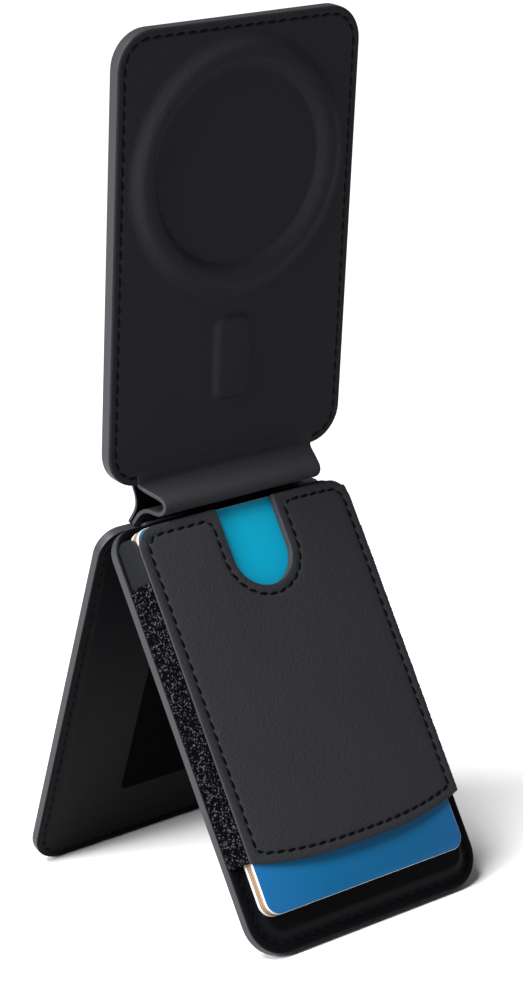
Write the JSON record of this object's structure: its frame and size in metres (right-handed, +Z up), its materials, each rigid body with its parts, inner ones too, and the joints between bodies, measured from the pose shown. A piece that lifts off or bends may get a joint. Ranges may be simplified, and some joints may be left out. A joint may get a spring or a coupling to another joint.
{
  "type": "phone wallet stand",
  "caption": "Folding leather phone wallet stand: a magnet ring panel on a two-leg easel, with a stretch card pocket on its front leg.",
  "frame": {"origin": "on the floor, under the centre of the open stand's bounding box", "axes": "+Z up, +X along the hinge lines, to the right as the ring face is seen, -Y out of the ring face and the card pocket"},
  "size_m": [0.0626, 0.089, 0.1925],
  "materials": {
    "cover_leather": "fine grain, satin",
    "pocket_leather": "fine grain, satin, slightly paler",
    "board": "pressed board",
    "thread": "waxed thread",
    "magnet": "nickel plated",
    "steel_plate": "plain",
    "microfibre": "matt",
    "foam": "matt",
    "elastic": "ribbed, with a slight glint",
    "card_blue": "gloss print over white core",
    "card_tan": "gloss",
    "card_white": "gloss"
  },
  "bodies": {
    "front_leg": {"front_leg_cover": "cover_leather", "front_leg_pad": "foam", "front_leg_board": "board", "front_leg_back_cover": "cover_leather", "front_leg_thread": "thread", "front_leg_magnet": "magnet", "gusset_left": "elastic", "gusset_right": "elastic", "side_tab_left": "cover_leather", "side_tab_right": "cover_leather", "apex_strap": "cover_leather"},
    "pocket": {"pocket_face": "pocket_leather", "pocket_lining": "microfibre", "pocket_thread": "thread"},
    "rear_leg": {"rear_leg_inner_cover": "cover_leather", "rear_leg_board": "board", "rear_leg_outer_cover": "cover_leather", "rear_leg_thread": "thread", "rear_leg_inlay": "microfibre", "rear_leg_magnet": "steel_plate", "spine_strap": "cover_leather", "rear_strap": "cover_leather"},
    "magnet_panel": {"panel_front_cover": "cover_leather", "panel_board": "board", "panel_back_cover": "cover_leather", "panel_thread": "thread", "ring_ridge": "cover_leather", "bar_ridge": "cover_leather", "magnet_ring": "magnet", "ring_yoke": "steel_plate", "alignment_magnet": "magnet"},
    "card_front": {"card_front": "card_blue"},
    "card_second": {"card_second": "card_tan"},
    "card_third": {"card_third": "card_tan"},
    "card_back": {"card_back": "card_white"}
  },
  "joints": [
    {"name": "leg_fold", "type": "hinge", "parent": "front_leg", "child": "rear_leg", "pos_m": [0, 0.00033, 0.08543], "axis": [1, 0, 0], "range_deg": [-52, 0], "deforming": ["apex_strap"]},
    {"name": "panel_tilt", "type": "hinge", "parent": "rear_leg", "child": "magnet_panel", "pos_m": [0, 0.00126, 0.08967], "axis": [1, 0, 0], "range_deg": [-164, 45], "deforming": ["spine_strap", "rear_strap"]},
    {"name": "pocket_stretch", "type": "slide", "parent": "front_leg", "child": "pocket", "axis": [0, -0.898, 0.4399], "range_m": [0, 0.0015], "stiffness_N_per_m": 400},
    {"name": "card_front_slide", "type": "slide", "parent": "front_leg", "child": "card_front", "axis": [0, -0.4399, -0.898], "range_m": [0, 0.07]},
    {"name": "card_second_slide", "type": "slide", "parent": "front_leg", "child": "card_second", "axis": [0, -0.4399, -0.898], "range_m": [0, 0.07]},
    {"name": "card_third_slide", "type": "slide", "parent": "front_leg", "child": "card_third", "axis": [0, -0.4399, -0.898], "range_m": [0, 0.07]},
    {"name": "card_back_slide", "type": "slide", "parent": "front_leg", "child": "card_back", "axis": [0, -0.4399, -0.898], "range_m": [0, 0.07]}
  ]
}
